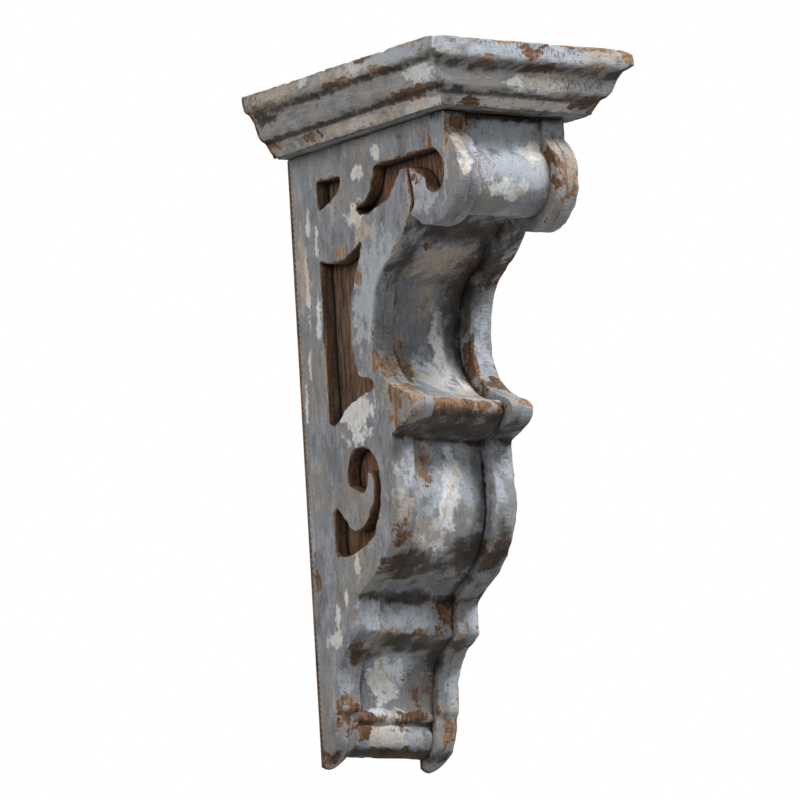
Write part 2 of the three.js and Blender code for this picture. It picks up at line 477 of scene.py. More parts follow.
ROUND_STEPS = (1.0, 0.66, 0.33, 0.0)
ARRIS_WAVES = ((17, 0.55), (5, 0.35))
ARRIS_LIMITS = (0.3, 3.2)
ARRIS_CHIP = 1.6
CHIP_SIZE = 13
CHIP_RANGE = (0.45, 0.95)
HIDDEN_RADIUS = 0.35
DENT_SIZE = 21
DENT_HEIGHT = 0.22
DENT_DEPTH = 0.1
FACE_WAVE = 38
FACE_SINK = 0.16
FACE_RIM = (2, 12)
BACK_EASE = 0.16
SAWN_STEP = 1.8
FRET_WEAR = 1.0
LINER_WEAR = 0.7
FOOT_START = -404
FOOT_ROUND = 0.0675
FOOT_LOWEST = {-1: 41.5, 1: 36.5}
BOARD_SEEDS = {-1: 3, 1: 7}
FACE_SEED = 90


def foot_level(across, level, side):
    """Round the foot across its thickness: the left one is lowest outside, the right one inside."""
    lift = FOOT_ROUND * (np.abs(across) - FOOT_LOWEST[side]) ** 2
    share = np.clip((FOOT_START - level) / (FOOT_START + HEIGHT), 0, 1)
    return level + lift * share ** 2


class Board:
    """A side layer: its worn face lies to one side, and its back against the next layer."""

    def __init__(self, side, face_across, back_across, loops, wear, raw_back):
        self.draft = Draft()
        self.side = side
        self.face = face_across
        self.inward = -1 if face_across > back_across else 1
        self.thickness = abs(face_across - back_across)
        self.loops = loops
        self.rims = np.vstack(loops)
        self.wear = wear
        self.raw_back = raw_back

    def place(self, flat, drop):
        """Points of the outline's plane at a drop under the face, with the foot rounded."""
        across = np.broadcast_to(self.face + self.inward * drop, len(flat)).astype(float)
        level = foot_level(across, flat[:, 1], self.side)
        return np.column_stack([across, -flat[:, 0], TOP + level])

    def arris(self, loop, normal, seed):
        """Radius of the worn arris and height of the dents at each point of an outline."""
        points = lifted(loop, self.face)
        hidden = on_wall(loop)
        radius = self.wear * (1 + ripples(points, seed, ARRIS_WAVES))
        radius += ARRIS_CHIP * smooth_step(*CHIP_RANGE, ripple(points, CHIP_SIZE, seed + 2))
        radius = np.where(hidden, HIDDEN_RADIUS, radius)
        radius = safe_inset(loop, normal, np.clip(radius, *ARRIS_LIMITS), self.rims)
        dent = DENT_HEIGHT * ripple(points, DENT_SIZE, seed + 3) - DENT_DEPTH
        return radius, np.where(hidden, 0, dent)[:, None]

    def wall(self, loop, hole, seed):
        """Rings of points down one outline, from the face over the worn arris to the back."""
        add = self.draft.add
        normal = outward(loop, hole)
        radius, dent = self.arris(loop, normal, seed)
        raw = np.where(in_scroll_eye(loop) | hole, 1.0, 0.0)
        rings = []
        for turn in ROUND_STEPS:
            inset = radius * (1 - math.cos(turn * math.pi / 2))
            drop = radius * (1 - math.sin(turn * math.pi / 2))
            flat = loop - normal * (inset[:, None] - dent * (1 - turn))
            rings.append(add(self.place(flat, drop), (1 - turn) * radius / 2, raw * (1 - turn)))
        steps = max(3, int(self.thickness / SAWN_STEP))
        for step in range(1, steps + 1):
            depth = (self.thickness - BACK_EASE - radius) * step / steps
            sawn = self.place(loop + normal * dent, radius + depth)
            rings.append(add(sawn, depth + radius / 2, raw))
        back = loop - normal * BACK_EASE
        rings.append(add(self.place(back, self.thickness), UNWORN, np.maximum(raw, self.raw_back)))
        pairs = zip(rings, rings[1:]) if clockwise(loop) else zip(rings[1:], rings)
        for one, two in pairs:
            self.draft.strip(one, two)
        return rings[0], loop - normal * radius[:, None], rings[-1], back

    def face_spots(self, spots):
        """Points of the face, sunk a little away from its rims."""
        edge = distances(spots, self.rims)
        wave = 1 - ripple(lifted(spots, self.face), FACE_WAVE, FACE_SEED + self.side)
        return self.place(spots, FACE_SINK * wave * smooth_step(*FACE_RIM, edge)), edge

    def back_spots(self, spots):
        return self.place(spots, self.thickness), UNWORN, self.raw_back

    def build(self, name, face_step, back_step):
        walls = []
        for number, loop in enumerate(self.loops):
            walls.append(self.wall(loop, number > 0, 10 * number + BOARD_SEEDS[self.side]))
        face_rings, face_loops, back_rings, back_loops = zip(*walls)
        fill(self.draft, face_rings, face_loops, self.face_spots, face_step)
        fill(self.draft, back_rings, back_loops, self.back_spots, back_step)
        return self.draft.finish(name)


def clean_loop(points, corner=BOARD_EASE):
    return resample(ease(points, corner), EDGE_STEP)


def fret_loops():
    """A fret's outline, cut in to the scroll's eye, and then its openings."""
    return [clean_loop(points) for points in (board_outline(SCROLL_EYE), *fret_openings())]


def opening_rims():
    """Points round a fret's openings, the scroll's eye among them."""
    outline, *openings = fret_loops()
    return np.vstack([*openings, outline[in_scroll_eye(outline)]])


def make_sides():
    frets = fret_loops()
    plain = [clean_loop(board_outline())]
    made = {}
    for side, word in SIDES:
        fret = Board(side, side * BODY_HALF, side * LINER_OUTER, frets, FRET_WEAR, 0.0)
        made[f"fret_{word}"] = fret.build(f"fret_{word}_worn", FRET_FACE_STEP, FRET_BACK_STEP)
        liner = Board(side, side * BLOCK_HALF, side * LINER_OUTER, plain, LINER_WEAR, 1.0)
        made[f"liner_{word}"] = liner.build(f"liner_{word}_worn", LINER_FACE_STEP, LINER_BACK_STEP)
    return made


# Lengths with one section: the block, the moulding and the board inside it

CORNER_TURN = 0.25
BLOCK_STATIONS = 33
BLOCK_SEED = 51
BLOCK_WEAR = dict(
    waves=((34, 0.35), (11, 0.16)), sunk=0.2, chip_size=12, chip_start=0.35, chip_depth=0.9, chip_reach=5,
)
CROWN_WEAR = dict(
    waves=((40, 0.22), (9, 0.14)), sunk=0.38, chip_size=14, chip_start=0.3, chip_depth=0.8, chip_reach=4,
)


def corner_distance(loop):
    """Distance from each point of a closed loop to its nearest outward corner."""
    ahead = np.roll(loop, -2, axis=0) - loop
    back = loop - np.roll(loop, 2, axis=0)
    turn = back[:, 0] * ahead[:, 1] - back[:, 1] * ahead[:, 0]
    turn /= np.linalg.norm(ahead, axis=1) * np.linalg.norm(back, axis=1) + 1e-9
    if not clockwise(loop):
        turn = -turn
    return distances(loop, loop[turn < -CORNER_TURN])


def worn_height(points, edge, seed, wear):
    """How far the worn skin lies over its outline, with chips near the corners."""
    chips = smooth_step(wear["chip_start"], 1, ripple(points, wear["chip_size"], seed + 2))
    chips = chips * smooth_step(wear["chip_reach"], 0.5, edge)
    return ripples(points, seed, wear["waves"]) - wear["sunk"] - wear["chip_depth"] * chips


def loft(name, loop, stations, place, edge):
    """A closed section carried along a row of stations, with flat ends."""
    draft = Draft()
    rings = [draft.add(place(loop, station), edge) for station in stations]
    for one, two in zip(rings, rings[1:]):
        draft.strip(one, two)
    draft.faces.append(tuple(reversed(rings[0])))
    draft.faces.append(tuple(rings[-1]))
    return draft.finish(name)


def make_block():
    loop = clean_loop(block_outline(), BLOCK_EASE)
    edge = corner_distance(loop)
    normal = outward(loop, False) * ~on_wall(loop)[:, None]

    def place(flat, across):
        height = worn_height(lifted(flat, across), edge, BLOCK_SEED, BLOCK_WEAR)
        moved = flat + normal * height[:, None]
        return np.column_stack([np.full(len(flat), across), -moved[:, 0], TOP + moved[:, 1]])

    stations = np.linspace(-BLOCK_HALF, BLOCK_HALF, BLOCK_STATIONS)
    return loft("centre_block_worn", loop, stations, place, edge)


# Crown moulding

MITRE_GAP = 0.4
CROWN_EASE = 1.5
CROWN_SECTION_STEP = 1.1
CROWN_LENGTH_STEP = 1.9
FRONT_SEED = 61
SIDE_SEED = 71
SIDE_PLACE = 300

# The front ogee's drop comes in under the fascia and fades out above the moulding's foot
FRONT_DROP = 2.4
DROP_START = (3, 12)
DROP_END = (SHELF_THICKNESS - 1, 31)

# Radius of the two front corners in plan, less lower down, and how their tops are worn down
CORNER_WEAR = {-1: 3.0, 1: 5.5}
CORNER_SHARE = 0.45
CORNER_DEPTH = 14
CORNER_SPREAD = 2.6
CORNER_TOP = 6

# Bends of the moulding's face, as inset from the shelf's edge and level under its top
FASCIA_HEIGHT = 9.6
BENDS = dict(
    lip=(5.4, -13.1), shoulder=(8.2, -17.6), waist=(11, -25.5), heel=(13.4, -28.7),
    bead=(16.5, -30.2), foot=(20.9, -38.2),
)


def moulding_section():
    return run_points((MOULDING_WIDTH, 0), [
        (0, 0),
        (0, -FASCIA_HEIGHT),
        through((2, -11.8), BENDS["lip"]),
        through(BENDS["shoulder"], (9.6, -21.5), BENDS["waist"], BENDS["heel"]),
        BENDS["bead"],
        through((18, -32.6), (20, -36.2), BENDS["foot"]),
        (BENDS["foot"][0], -SHELF_THICKNESS),
        (MOULDING_WIDTH, -SHELF_THICKNESS),
    ])


def section_inset(drop):
    """Inset of the moulding's face at a given drop under the top."""
    bends = np.array([(0, 0), (0, -FASCIA_HEIGHT), *BENDS.values()])
    return np.interp(drop, -bends[:, 1], bends[:, 0])


def round_corners(points):
    """Wear the two front corners of the shelf round, in plan, most at the top."""
    points = points.copy()
    for side, wear in CORNER_WEAR.items():
        from_side = SHELF_WIDTH / 2 - side * points[:, 0]
        from_front = SHELF_DEPTH + points[:, 1]
        drop = TOP - points[:, 2]
        radius = wear * (1 - CORNER_SHARE * smooth_step(0, CORNER_DEPTH, drop))
        centre = radius + section_inset(drop)
        past_side = np.maximum(centre - from_side, 0)
        past_front = np.maximum(centre - from_front, 0)
        reach = np.hypot(past_side, past_front)
        outside = (past_side > 0) & (past_front > 0) & (reach > radius)
        push = np.where(outside, 1 - radius / np.maximum(reach, 1e-6), 0)
        points[:, 0] -= side * push * past_side
        points[:, 1] += push * past_front
        near = smooth_step(CORNER_SPREAD * wear, 0, np.hypot(from_side, from_front))
        points[:, 2] -= near * CORNER_SHARE * wear * smooth_step(CORNER_TOP, 0, drop)
    return points


def section_loop(points, corner, step):
    """A section for a loft, with its points clockwise."""
    loop = resample(ease(points, corner), step)
    return loop if clockwise(loop) else loop[::-1]


def crown_stations(length):
    """Shares of a length from 0 to 1, closer together towards its ends."""
    even = np.linspace(0, 1, int(length / CROWN_LENGTH_STEP))
    return 0.5 - 0.5 * np.cos(np.pi * even) * (1 - 0.25 * np.sin(np.pi * even) ** 2)


def make_crown():
    loop = section_loop(moulding_section(), CROWN_EASE, CROWN_SECTION_STEP)
    edge = corner_distance(loop)
    seen = loop[:, 0] <= MOULDING_WIDTH - 0.3
    normal = outward(loop, False) * seen[:, None]

    def worn(flat, along, seed):
        height = worn_height(lifted(flat, along), edge, seed, CROWN_WEAR)
        return flat + normal * height[:, None]

    def front(flat, share):
        """The front length's ogee sits a little lower than the sides', so the mitres don't quite match."""
        moved = worn(flat, share * SHELF_WIDTH, FRONT_SEED)
        drop = -moved[:, 1]
        moved[:, 1] -= FRONT_DROP * smooth_step(*DROP_START, drop) * smooth_step(*DROP_END, drop)
        end = SHELF_WIDTH / 2 - moved[:, 0] - MITRE_GAP / 2
        across = end * (2 * share - 1)
        return round_corners(np.column_stack([across, moved[:, 0] - SHELF_DEPTH, TOP + moved[:, 1]]))

    def side_length(side):
        def place(flat, share):
            moved = worn(flat, SIDE_PLACE * side + share * SHELF_DEPTH, SIDE_SEED + side)
            end = moved[:, 0] - SHELF_DEPTH + MITRE_GAP / 2
            along = end * (share if side < 0 else 1 - share)
            across = side * (SHELF_WIDTH / 2 - moved[:, 0])
            return round_corners(np.column_stack([across, along, TOP + moved[:, 1]]))
        return place

    made = {"crown_front": loft("crown_front_worn", loop, crown_stations(SHELF_WIDTH), front, edge)}
    for side, word in SIDES:
        stations = crown_stations(SHELF_DEPTH)
        made[f"crown_{word}"] = loft(f"crown_{word}_worn", loop, stations, side_length(side), edge)
    return made


# Shelf board

SHELF_EASE = 0.4
SHELF_STEP = 2.5
SHELF_STATIONS = 70
SHELF_SINK = 0.25
SHELF_WAVE = 45
SHELF_RIM = 3
SHELF_SEED = 81


def make_shelf_board():
    """The flat board inside the moulding, as a grid so that its faces can be worn."""
    half = SHELF_WIDTH / 2 - MOULDING_WIDTH
    section = run_points((-half, 0), [(half, 0), (half, -SHELF_THICKNESS), (-half, -SHELF_THICKNESS)])
    loop = section_loop(section, SHELF_EASE, SHELF_STEP)

    def place(flat, deep):
        wave = 1 + ripple(lifted(flat, deep), SHELF_WAVE, SHELF_SEED)
        sunk = SHELF_SINK * wave * smooth_step(0, SHELF_RIM, half - np.abs(flat[:, 0]))
        level = flat[:, 1] - np.where(flat[:, 1] > -1, sunk, -sunk)
        return np.column_stack([flat[:, 0], np.full(len(flat), -deep), TOP + level])

    stations = np.linspace(0, SHELF_DEPTH - MOULDING_WIDTH, SHELF_STATIONS)
    return loft("shelf_board_worn", loop, stations, place, UNWORN)


pieces = {}
pieces.update(make_sides())
pieces["centre_block"] = make_block()
pieces.update(make_crown())
pieces["shelf_board"] = make_shelf_board()
for node, piece in pieces.items():
    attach(piece, "root")
    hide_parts(node)


# Camera, at the place found by fitting the photo

CAMERA_AZIMUTH = 0.62295
CAMERA_ELEVATION = -0.1612
CAMERA_ROLL = 0.05835
CAMERA_DISTANCE = 5980.2
CAMERA_CLIP = (0.5, 60)
FOCAL_PIXELS = 9511.6
PHOTO_SIZE = 800
SENSOR = 36
TARGET = np.array([-40.76, -100.0, -211.34 + TOP])


def camera_axes():
    back = np.array([
        -math.sin(CAMERA_AZIMUTH) * math.cos(CAMERA_ELEVATION),
        -math.cos(CAMERA_AZIMUTH) * math.cos(CAMERA_ELEVATION),
        math.sin(CAMERA_ELEVATION),
    ])
    right = np.cross(-back, (0, 0, 1))
    right /= np.linalg.norm(right)
    up = np.cross(right, -back)
    cosine, sine = math.cos(CAMERA_ROLL), math.sin(CAMERA_ROLL)
    return cosine * right - sine * up, sine * right + cosine * up, back


def make_camera():
    right, up, back = camera_axes()
    place = TARGET + back * CAMERA_DISTANCE
    data = bpy.data.cameras.new("photo_camera")
    data.sensor_width = SENSOR
    data.lens = FOCAL_PIXELS / PHOTO_SIZE * SENSOR
    data.clip_start, data.clip_end = CAMERA_CLIP
    camera = add_object("photo_camera", data)
    turn = Matrix((right, up, back)).transposed().to_4x4()
    camera.matrix_world = Matrix.Translation(Vector(place * MM)) @ turn
    bpy.context.scene.camera = camera


make_camera()


# Shader nodes

class Graph:
    """The nodes of a material or world, and the named fields that a paint is mixed from."""

    def __init__(self, owner):
        owner.use_nodes = True
        self.tree = owner.node_tree
        self.coordinates = self.node("TexCoord").outputs
        self.fields = {}

    def plug(self, node, inputs):
        """Give a node's inputs values, colours or the outputs of other nodes."""
        for name, value in inputs.items():
            socket = node.inputs[name]
            if isinstance(value, bpy.types.NodeSocket):
                self.tree.links.new(value, socket)
            else:
                socket.default_value = (*value, 1) if socket.type == "RGBA" else value

    def node(self, kind, inputs=None, **settings):
        node = self.tree.nodes.new(f"ShaderNode{kind}")
        for name, value in settings.items():
            setattr(node, name, value)
        self.plug(node, inputs or {})
        return node

    def times(self, one, two):
        """Product of two values, kept between 0 and 1."""
        return self.node("Math", {0: one, 1: two}, operation="MULTIPLY", use_clamp=True).outputs[0]

    def blend(self, start=0.0, **weights):
        """A start value plus the named fields, each times its weight."""
        total = start
        for name, weight in weights.items():
            terms = {0: self.fields[name], 1: weight, 2: total}
            total = self.node("Math", terms, operation="MULTIPLY_ADD").outputs[0]
        return total

    def ramp(self, low, high, least=0.0, most=1.0, **weights):
        """A smooth change from least to most, while a blend of fields goes from low to high."""
        inputs = {"Value": self.blend(**weights), "From Min": low, "From Max": high}
        inputs |= {"To Min": least, "To Max": most}
        return self.node("MapRange", inputs, interpolation_type="SMOOTHSTEP").outputs["Result"]

    def mix(self, share, one, two, blend_type="MIX"):
        colours = {"Factor": share, 6: one, 7: two}
        return self.node("Mix", colours, data_type="RGBA", blend_type=blend_type).outputs[2]

    def glaze(self, below, colour, low, high, least=0.0, most=1.0, **weights):
        """Lay a colour over another by a ramp."""
        return self.mix(self.ramp(low, high, least, most, **weights), below, colour)

    def texture(self, kind, size, stretch, offset, **inputs):
        """A texture whose features are about the given size in mm."""
        place = {"Vector": self.coordinates["Object"], "Location": offset, "Scale": stretch}
        mapped = self.node("Mapping", place).outputs[0]
        return self.node(kind, {"Vector": mapped, "Scale": 1 / (size * MM), **inputs}).outputs

    def noise(self, size, stretch, detail, rough, seed):
        offset = (seed, 0.7 * seed, -0.4 * seed)
        return self.texture("TexNoise", size, stretch, offset, Detail=detail, Roughness=rough)["Fac"]

    def read(self, name):
        return self.node("Attribute", attribute_name=name).outputs["Fac"]

    def surface(self, inputs):
        self.plug(self.tree.nodes["Principled BSDF"], inputs)


# Light and floor, in metres and watts

LIGHT_AIM = Vector((0, -0.1, 0))
LIGHTS = {
    "key": dict(place=(0.9, -1.8, 2.3), width=1.0, power=122, colour=(0.94, 0.97, 1)),
    "fill": dict(place=(-2.7, -0.7, 1.3), width=1.6, power=38, colour=(1, 0.95, 0.91)),
    "back_fill": dict(place=(0.8, 2.4, 1.6), width=1.6, power=34, colour=(1, 1, 1)),
}
FLOOR_REACH = 30
FLOOR_LEVEL = -1.6
FLOOR_LIT = (0.5, 0.5, 0.49)
FLOOR_SEEN = (0.93, 0.93, 0.92)
FLOOR_ROUGHNESS = 0.9
SKY_COLOUR = (0.97, 0.98, 1)
SKY_SLOPE = {"From Min": -0.5, "From Max": 1.0, "To Min": 0.04, "To Max": 0.75}
BACKDROP = (1, 1, 1)


def area_light(name, place, width, power, colour):
    data = bpy.data.lights.new(name, "AREA")
    data.shape = "SQUARE"
    data.size = width
    data.energy = power
    data.color = colour
    lamp = add_object(name, data)
    lamp.location = place
    lamp.rotation_mode = "QUATERNION"
    lamp.rotation_quaternion = (LIGHT_AIM - Vector(place)).to_track_quat("-Z", "Y")


def make_floor():
    """A pale floor well under the feet, which looks lighter than the light it throws back."""
    mesh = bpy.data.meshes.new("floor")
    turns = ((-1, -1), (1, -1), (1, 1), (-1, 1))
    corners = [(FLOOR_REACH * x, FLOOR_REACH * y, FLOOR_LEVEL) for x, y in turns]
    mesh.from_pydata(corners, [], [(0, 1, 2, 3)])
    floor = add_object("floor", mesh)
    material = bpy.data.materials.new("pale_floor")
    graph = Graph(material)
    camera_sees = graph.node("LightPath").outputs["Is Camera Ray"]
    tone = graph.mix(camera_sees, FLOOR_LIT, FLOOR_SEEN)
    graph.surface({"Base Color": tone, "Roughness": FLOOR_ROUGHNESS})
    mesh.materials.append(material)


def make_world():
    """A white backdrop for the camera, and a sky that is brighter overhead."""
    world = bpy.data.worlds.new("studio")
    bpy.context.scene.world = world
    graph = Graph(world)
    level = graph.node("SeparateXYZ", {0: graph.coordinates["Generated"]}).outputs["Z"]
    strength = graph.node("MapRange", {"Value": level, **SKY_SLOPE}).outputs["Result"]
    sky = graph.node("Background", {"Color": SKY_COLOUR, "Strength": strength}).outputs[0]
    backdrop = graph.node("Background", {"Color": BACKDROP, "Strength": 1.0}).outputs[0]
    camera_sees = graph.node("LightPath").outputs["Is Camera Ray"]
    both = graph.node("MixShader", {0: camera_sees, 1: sky, 2: backdrop}).outputs[0]
    graph.plug(graph.tree.nodes["World Output"], {"Surface": both})


bpy.context.scene.view_settings.view_transform = "Standard"
make_floor()
make_world()
for name, light in LIGHTS.items():
    area_light(name, **light)


# Places in the photo where the paint is worn, and where shadow and light are painted, gathered by what shows
# there. Each is a middle, as across, depth from the wall and level under the shelf's top, and then its half
# sizes the same way, in mm
WEAR_AND_PAINTED_LIGHT_PLACES = {
    # Where the off-white coat shows
    "chalk": [
        # Cap, left length
        (-79, 67, -5, 4, 5, 4), (-79, 123, -5, 4, 15, 5), (-70, 183, -19, 10, 14, 6),
        (-60, 100, -35, 6, 19, 3), (-59, 168, -36, 6, 22, 3),
        # Cap, front length
        (3, 198, -25, 24, 8, 5), (-11, 189, -35, 52, 5, 4),
        # Left side, upper part
        (-47, 97, -53, 3, 5, 5), (-47, 75, -60, 3, 8, 5), (-47, 19, -86, 3, 2.5, 10), (-47, 27, -97, 3, 2, 8),
        (-47, 71, -88, 3, 10, 8), (-47, 15, -128, 3, 2.5, 20), (-47, 13, -178, 3, 1.5, 16),
        (-47, 7, -202, 3, 1.5, 15), (-47, 25, -149, 3, 2.5, 17), (-47, 61, -213, 3, 17, 19),
        # Left side, lower part
        (-47, 52, -307, 3, 2.5, 8), (-47, 38, -326, 3, 2, 10), (-47, 27, -339, 3, 3, 8),
        (-47, 22, -352, 3, 8, 6),
        # Scroll
        (-41, 185, -76, 6, 5, 7), (-5, 175, -88, 15, 6, 8), (21, 172, -62, 12, 8, 9),
        # Hollow
        (12, 70, -168, 5, 7, 26), (3, 78, -190, 21, 9, 14), (25, 80, -195, 5, 8, 10),
        # Ledge and belly
        (4, 88, -260, 8, 7, 25), (-1, 86, -284, 9, 7, 12), (-6, 77, -301, 12, 8, 9),
        # Foot
        (-9, 21, -375, 15, 8, 16), (-6, 16, -411, 17, 8, 8), (-6, 18, -398, 16, 6, 4),
    ],
    # Where bare wood shows
    "bare": [
        # Cap, left length
        (-79, 128, -3, 3, 9, 2.5),
        # Cap, front length
        (49, 209, -1, 30, 4, 3), (74, 207, -7, 7, 7, 8),
        # Left side, upper part
        (-47, 152, -52, 3, 6, 9), (-47, 52, -109, 3, 10, 5), (-47, 71, -127, 3, 4, 8),
        (-47, 103, -212, 3, 12, 15), (-39, 86, -188, 10, 12, 18), (-38, 110, -204, 10, 14, 7),
        # Scroll
        (-37, 172, -54, 11, 8, 9), (39, 185, -78, 9, 7, 19),
        # Hollow
        (20, 98, -120, 9, 12, 10), (-19, 73, -183, 8, 9, 20), (44, 118, -212, 8, 8, 4),
        (-44, 120, -212, 7, 6, 4),
        # Ledge and belly
        (0, 114, -213, 31, 5, 2.4), (-17, 87, -250, 8, 6, 12),
        # Foot
        (-39, 22, -393, 7, 8, 6), (40, 19, -408, 8, 7, 10),
    ],
    # Where darker bare wood shows
    "stain": [
        # Cap, left length
        (-76, 99, -11, 5, 12, 2), (-74, 154, -13, 5, 14, 2), (-63, 165, -28, 6, 27, 4),
        (-62, 5, -31, 6, 10, 5), (-61, 48, -33, 6, 16, 4),
        # Cap, front length
        (-1, 209, -7, 8, 6, 8), (6, 200, -15, 18, 8, 3.5), (-37, 189, -36, 7, 5, 4), (54, 190, -34, 13, 5, 6),
        # Left side, upper part
        (-41, 116, -63, 7, 30, 5), (-40, 44, -70, 5, 9, 7), (-41, 76, -84, 5, 9, 6),
        (-40, 142, -74, 6, 14, 10),
        # Left side, lower part
        (-47, 8, -312, 3, 4, 15),
        # Scroll
        (-33, 172, -46, 12, 8, 5), (31, 175, -70, 2, 9, 17),
        # Hollow
        (-13, 106, -111, 10, 10, 4), (31, 80, -180, 2, 9, 25), (35, 94, -128, 7, 9, 11),
        (42, 102, -120, 9, 14, 12), (38, 92, -198, 10, 10, 10),
        # Ledge and belly
        (-3, 114, -216, 31, 5, 5), (-26, 68, -312, 10, 13, 10), (-38, 76, -310, 8, 13, 9),
        (39, 84, -304, 10, 16, 18), (47, 58, -327, 6, 8, 5), (-38, 86, -296, 7, 12, 12),
        # Foot
        (22, 45, -336, 10, 8, 16), (20, 20, -381, 13, 9, 20), (-38, 34, -362, 7, 9, 9),
        (-32, 19, -404, 13, 8, 10), (-24, 16, -410, 6, 8, 9), (18, 19, -400, 14, 8, 6),
        (0, 9, -423, 32, 9, 4), (-44, 10, -426, 5, 12, 6),
    ],
    # Where a brown glaze lies, and painted shadow in dark brown under the fascia, the bead, the cap, the
    # ledge and the fillet
    "wash": [
        (0, 112, -221, 50, 8, 4), (0, 168, -41, 50, 20, 2.6), (0, 124, -104, 50, 26, 9),
        (-30, 100, -122, 14, 18, 14), (32, 100, -122, 12, 20, 18), (24, 80, -140, 16, 20, 30),
        (0, 105, -230, 50, 20, 9), (-20, 74, -310, 26, 20, 13), (22, 78, -306, 18, 20, 18),
        (40, 88, -300, 9, 20, 22), (0, 47, -328, 50, 10, 4), (0, 40, -356, 50, 12, 5),
        (-30, 34, -362, 14, 12, 7), (26, 26, -366, 8, 12, 12), (24, 88, -262, 6, 10, 30),
        (-24, 88, -245, 8, 10, 12), (0, 10, -423, 50, 12, 6), (24, 70, -160, 7, 16, 40),
        (-26, 70, -160, 5, 16, 40), (-27, 88, -270, 4, 10, 44), (-27, 20, -380, 4, 8, 20),
        # Painted shadow: bands under the fascia and under the bead of the moulding, on all three lengths
        (-84, 60, -13.6, 26, 190, 1.8), (84, 60, -13.6, 26, 190, 1.8), (0, 216, -17, 140, 24, 2.6),
        (-70, 60, -29.8, 26, 190, 1.5), (70, 60, -29.8, 26, 190, 1.5), (0, 204, -32.6, 140, 26, 1.7),
        (-72, 14, -17, 8, 12, 4), (-47, 123, -47, 3, 4.4, 2.8),
    ],
    # Where the top coat is paler, partly as painted light on lit faces: the front fascia, the top of the
    # roll, the hollow's lower part and the belly
    "pale": [
        (2, 84, -194, 26, 14, 14), (0, 209, -6, 84, 4, 7), (4, 180, -74, 42, 13, 17),
        (4, 170, -54, 40, 10, 13), (-79, 150, -5, 4, 60, 6), (-70, 190, -20, 9, 20, 7),
        (2, 76, -189, 28, 12, 20), (0, 48, -342, 44, 8, 8), (-47, 88, -140, 3, 30, 40),
        (-47, 150, -80, 3, 20, 20), (38, 88, -164, 9, 14, 22), (4, 92, -258, 44, 14, 27),
        (-40, 50, -340, 7, 8, 11), (41, 50, -340, 8, 8, 10), (-41, 27, -380, 6, 8, 10),
        (41, 27, -382, 7, 8, 13), (-4, 22, -370, 20, 8, 18), (-2, 14, -412, 40, 8, 10),
    ],
    # Where the paint is nicked and scratched
    "nick": [
        (-79, 9, -5, 4, 12, 6), (-72, 14, -18, 8, 17, 6), (-20, 209, -2.5, 50, 4, 3), (10, 209, -6, 30, 4, 5),
        (-60, 206, -15, 9, 6, 3), (40, 200, -22, 26, 8, 6), (-36, 178, -88, 9, 14, 12),
        (-28, 176, -72, 8, 12, 14), (36, 92, -130, 9, 10, 16), (-38, 94, -206, 10, 14, 14),
        (38, 90, -200, 10, 14, 12), (40, 86, -240, 9, 14, 12),
    ],
    # Where warm beige is smeared
    "beige": [
        (4, 111, -209.5, 31, 5, 2.2), (-38, 92, -278, 8, 10, 12), (-6, 98, -121, 24, 20, 13),
        (2, 84, -142, 14, 14, 12), (20, 88, -202, 10, 10, 7), (-18, 90, -246, 9, 8, 15),
        (-10, 84, -292, 16, 10, 12), (-47, 10, -112, 3, 5, 26), (-47, 78, -100, 3, 12, 12),
        (-79, 105, -5, 4, 30, 5), (-79, 40, -5, 4, 30, 5), (-61, 90, -35, 8, 70, 4), (18, 200, -22, 22, 8, 7),
        (58, 209, -4, 26, 4, 6), (0, 190, -36, 70, 6, 4), (30, 176, -62, 9, 10, 16),
        (-43, 176, -58, 6, 12, 12), (42, 180, -76, 8, 14, 20), (-44, 100, -206, 8, 14, 12),
        (-6, 16, -410, 22, 8, 10), (-30, 36, -356, 12, 10, 10),
    ],
    # Where the bare wood is redder
    "rust": [
        (-40, 118, -74, 12, 46, 22), (-40, 62, -270, 12, 40, 46), (-37, 172, -52, 14, 12, 12),
        (40, 180, -78, 12, 16, 24), (0, 114, -216, 40, 10, 8), (40, 98, -124, 12, 18, 22),
        (20, 22, -382, 16, 12, 24), (22, 46, -336, 14, 12, 20), (-30, 20, -404, 20, 14, 16),
        (6, 209, -8, 26, 16, 12), (-66, 80, -30, 14, 120, 8),
    ],
}

# How the places fade out, and how hollows, inner corners and shade are found
PLACE_RIM = (1.35, 0.45)
PLACE_RAGGED = ((11, 0.35), (4, 0.25))
PLACE_SEED = 5
CREVICE_GAIN = 4
CREVICE_SPREAD = 4
CREVICE_FADE = 0.9
CREVICE_STRENGTH = 1.6
CORNER_LINE = (2.2, 0.3)
SHADE_REACH = 20.0
SHADE_RAYS = 14
SHADE_WIDTH = 0.97
SHADE_LIFT = 0.2
UNDER_SLOPE = (0.15, 0.95)
FRONT_SLOPE = (0.3, 0.7)
WALL_BARE = (-2.5, -0.4)


def place_weights(points):
    """How far each layer's listed places of wear, painted shadow and painted light cover each point, from 0
    to 1.
    """
    spots = np.column_stack([points[:, 0], -points[:, 1], points[:, 2] - TOP])
    ragged = ripples(points, PLACE_SEED, PLACE_RAGGED)
    out = {}
    for layer, rows in WEAR_AND_PAINTED_LIGHT_PLACES.items():
        out[layer] = np.zeros(len(points))
        for row in rows:
            middle, half = np.reshape(row, (2, 3))
            reach = np.linalg.norm((spots - middle) / half, axis=1) + ragged
            out[layer] = np.maximum(out[layer], smooth_step(*PLACE_RIM, reach))
    return out


def ray_fan():
    """Directions spread evenly over the half space above a face, more of them near its normal."""
    turns = np.arange(SHADE_RAYS) * math.pi * (3 - math.sqrt(5))
    spread = np.sqrt((np.arange(SHADE_RAYS) + 0.5) / SHADE_RAYS * SHADE_WIDTH)
    return np.column_stack([spread * np.cos(turns), spread * np.sin(turns), np.sqrt(1 - spread ** 2)])


